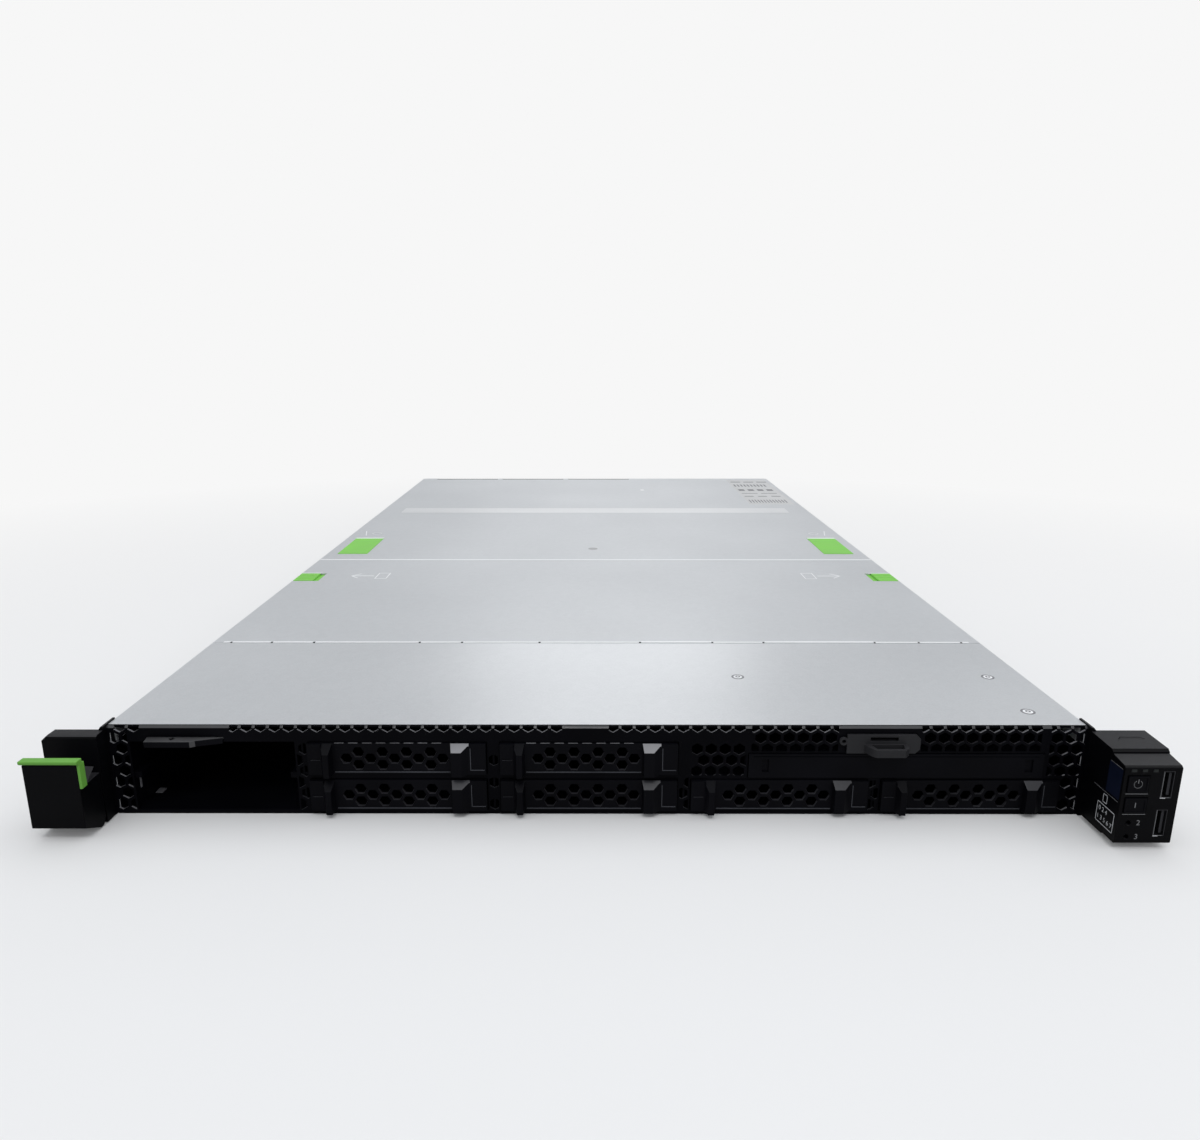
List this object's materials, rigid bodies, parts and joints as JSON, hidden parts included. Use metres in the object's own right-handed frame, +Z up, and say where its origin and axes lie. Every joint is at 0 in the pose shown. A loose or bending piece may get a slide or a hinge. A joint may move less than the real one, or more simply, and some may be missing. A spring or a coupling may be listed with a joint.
{
  "type": "1u rack server",
  "caption": "Flat rack server chassis with a perforated drive front, two rack ears, sliding top cover, fans, boards and plug-in power supplies.",
  "frame": {"origin": "middle of the chassis, on its bottom face, under the front edge of the top sheets", "axes": "+X to the right seen from the front, +Y to the rear, +Z up"},
  "size_m": [0.4826, 0.8004, 0.0436],
  "materials": {
    "galvanised": "fine grained galvanised sheet",
    "black_steel": "black powder coat",
    "black_plastic": "moulded, satin",
    "green_plastic": "moulded, satin",
    "board": "solder mask",
    "connector": "moulded",
    "bright_metal": "nickel plated",
    "sink": "extruded fins",
    "lamp": "clear light guide"
  },
  "bodies": {
    "chassis": {"chassis_tray": "galvanised", "rear_wall": "galvanised", "front_top_plate": "galvanised", "rail_studs": "bright_metal", "slot_brackets": "galvanised", "rear_ports": "bright_metal", "front_grille": "black_steel", "drive_cage": "black_steel", "backplane": "board", "drive_connectors": "connector", "left_ear": "black_plastic", "ear_pins": "bright_metal", "right_ear": "black_plastic", "control_panel": "black_plastic", "front_ports": "bright_metal", "status_lamps": "lamp", "fan_rails": "galvanised", "fan_frames": "black_plastic", "mainboard": "board", "board_standoffs": "bright_metal", "heat_sinks": "sink", "memory_modules": "board", "memory_sockets": "connector", "air_duct": "black_plastic", "riser_boards": "board"},
    "blank_1": {"drive_blank_1": "black_plastic"},
    "blank_2": {"drive_blank_2": "black_plastic"},
    "blank_3": {"drive_blank_3": "black_plastic"},
    "blank_4": {"drive_blank_4": "black_plastic"},
    "blank_5": {"drive_blank_5": "black_plastic"},
    "blank_6": {"drive_blank_6": "black_plastic"},
    "slim_blank": {"optical_blank": "black_plastic"},
    "card": {"id_card": "black_plastic"},
    "tab": {"service_tab": "black_plastic"},
    "lever": {"left_lever": "black_plastic", "left_grip": "green_plastic"},
    "hook_left": {"left_hook": "bright_metal"},
    "hook_right": {"right_hook": "bright_metal"},
    "power_button_cap": {"power_button": "black_plastic"},
    "id_button_cap": {"id_button": "black_plastic"},
    "reset_button_cap": {"reset_button": "black_plastic"},
    "nmi_button_cap": {"nmi_button": "black_plastic"},
    "cover": {"top_cover": "galvanised", "cover_pads": "green_plastic"},
    "latch_left": {"cover_latch_left": "green_plastic"},
    "latch_right": {"cover_latch_right": "green_plastic"},
    "rotor_1": {"fan_rotor_1": "black_plastic"},
    "rotor_2": {"fan_rotor_2": "black_plastic"},
    "rotor_3": {"fan_rotor_3": "black_plastic"},
    "rotor_4": {"fan_rotor_4": "black_plastic"},
    "rotor_5": {"fan_rotor_5": "black_plastic"},
    "rotor_6": {"fan_rotor_6": "black_plastic"},
    "rotor_7": {"fan_rotor_7": "black_plastic"},
    "rotor_8": {"fan_rotor_8": "black_plastic"},
    "supply_1": {"power_supply_1": "galvanised", "supply_handle_1": "black_plastic"},
    "release_1": {"supply_release_1": "green_plastic"},
    "supply_2": {"power_supply_2": "galvanised", "supply_handle_2": "black_plastic"},
    "release_2": {"supply_release_2": "green_plastic"}
  },
  "joints": [
    {"name": "blank_1_pull", "type": "slide", "parent": "chassis", "child": "blank_1", "axis": [0, -1, 0], "range_m": [0, 0.06]},
    {"name": "blank_2_pull", "type": "slide", "parent": "chassis", "child": "blank_2", "axis": [0, -1, 0], "range_m": [0, 0.06]},
    {"name": "blank_3_pull", "type": "slide", "parent": "chassis", "child": "blank_3", "axis": [0, -1, 0], "range_m": [0, 0.06]},
    {"name": "blank_4_pull", "type": "slide", "parent": "chassis", "child": "blank_4", "axis": [0, -1, 0], "range_m": [0, 0.06]},
    {"name": "blank_5_pull", "type": "slide", "parent": "chassis", "child": "blank_5", "axis": [0, -1, 0], "range_m": [0, 0.06]},
    {"name": "blank_6_pull", "type": "slide", "parent": "chassis", "child": "blank_6", "axis": [0, -1, 0], "range_m": [0, 0.06]},
    {"name": "slim_blank_pull", "type": "slide", "parent": "chassis", "child": "slim_blank", "axis": [0, -1, 0], "range_m": [0, 0.06]},
    {"name": "card_pull", "type": "slide", "parent": "chassis", "child": "card", "axis": [0, -1, 0], "range_m": [0, 0.06]},
    {"name": "tab_pull", "type": "slide", "parent": "chassis", "child": "tab", "axis": [0, -1, 0], "range_m": [0, 0.006]},
    {"name": "lever_tip", "type": "hinge", "parent": "chassis", "child": "lever", "pos_m": [-0.2295, -0.013, 0.0036], "axis": [1, 0, 0], "range_deg": [0, 12], "stiffness_Nm_per_rad": 0.06},
    {"name": "hook_left_lift", "type": "hinge", "parent": "chassis", "child": "hook_left", "pos_m": [-0.2353, -0.0062, 0.033], "axis": [1, 0, 0], "range_deg": [0, 10]},
    {"name": "hook_right_lift", "type": "hinge", "parent": "chassis", "child": "hook_right", "pos_m": [0.2353, -0.0062, 0.033], "axis": [1, 0, 0], "range_deg": [0, 10], "stiffness_Nm_per_rad": 0.02},
    {"name": "power_button_press", "type": "slide", "parent": "chassis", "child": "power_button_cap", "axis": [0, 1, 0], "range_m": [0, 0.001], "stiffness_N_per_m": 200},
    {"name": "id_button_press", "type": "slide", "parent": "chassis", "child": "id_button_cap", "axis": [0, 1, 0], "range_m": [0, 0.001], "stiffness_N_per_m": 200},
    {"name": "reset_button_press", "type": "slide", "parent": "chassis", "child": "reset_button_cap", "axis": [0, 1, 0], "range_m": [0, 0.0006], "stiffness_N_per_m": 200},
    {"name": "nmi_button_press", "type": "slide", "parent": "chassis", "child": "nmi_button_cap", "axis": [0, 1, 0], "range_m": [0, 0.0006], "stiffness_N_per_m": 200},
    {"name": "cover_slide", "type": "slide", "parent": "chassis", "child": "cover", "axis": [0, 1, 0], "range_m": [0, 0.012]},
    {"name": "latch_left_slide", "type": "slide", "parent": "cover", "child": "latch_left", "axis": [1, 0, 0], "range_m": [0, 0.004], "stiffness_N_per_m": 150},
    {"name": "latch_right_slide", "type": "slide", "parent": "cover", "child": "latch_right", "axis": [-1, 0, 0], "range_m": [0, 0.004], "stiffness_N_per_m": 150},
    {"name": "rotor_1_spin", "type": "hinge", "parent": "chassis", "child": "rotor_1", "pos_m": [-0.1785, 0.18, 0.021], "axis": [0, 1, 0], "continuous": true},
    {"name": "rotor_2_spin", "type": "hinge", "parent": "chassis", "child": "rotor_2", "pos_m": [-0.1275, 0.18, 0.021], "axis": [0, 1, 0], "continuous": true},
    {"name": "rotor_3_spin", "type": "hinge", "parent": "chassis", "child": "rotor_3", "pos_m": [-0.0765, 0.18, 0.021], "axis": [0, 1, 0], "continuous": true},
    {"name": "rotor_4_spin", "type": "hinge", "parent": "chassis", "child": "rotor_4", "pos_m": [-0.0255, 0.18, 0.021], "axis": [0, 1, 0], "continuous": true},
    {"name": "rotor_5_spin", "type": "hinge", "parent": "chassis", "child": "rotor_5", "pos_m": [0.0255, 0.18, 0.021], "axis": [0, 1, 0], "continuous": true},
    {"name": "rotor_6_spin", "type": "hinge", "parent": "chassis", "child": "rotor_6", "pos_m": [0.0765, 0.18, 0.021], "axis": [0, 1, 0], "continuous": true},
    {"name": "rotor_7_spin", "type": "hinge", "parent": "chassis", "child": "rotor_7", "pos_m": [0.1275, 0.18, 0.021], "axis": [0, 1, 0], "continuous": true},
    {"name": "rotor_8_spin", "type": "hinge", "parent": "chassis", "child": "rotor_8", "pos_m": [0.1785, 0.18, 0.021], "axis": [0, 1, 0], "continuous": true},
    {"name": "supply_1_pull", "type": "slide", "parent": "chassis", "child": "supply_1", "axis": [0, 1, 0], "range_m": [0, 0.15]},
    {"name": "release_1_press", "type": "hinge", "parent": "supply_1", "child": "release_1", "pos_m": [0.1245, 0.7493, 0.02], "axis": [0, 0, 1], "range_deg": [0, 10], "stiffness_Nm_per_rad": 0.05},
    {"name": "supply_2_pull", "type": "slide", "parent": "chassis", "child": "supply_2", "axis": [0, 1, 0], "range_m": [0, 0.15]},
    {"name": "release_2_press", "type": "hinge", "parent": "supply_2", "child": "release_2", "pos_m": [0.2025, 0.7493, 0.02], "axis": [0, 0, 1], "range_deg": [0, 10], "stiffness_Nm_per_rad": 0.05}
  ],
  "couplings": [
    {"joint": "hook_left_lift", "follows": "lever_tip", "ratio": 0.8}
  ]
}
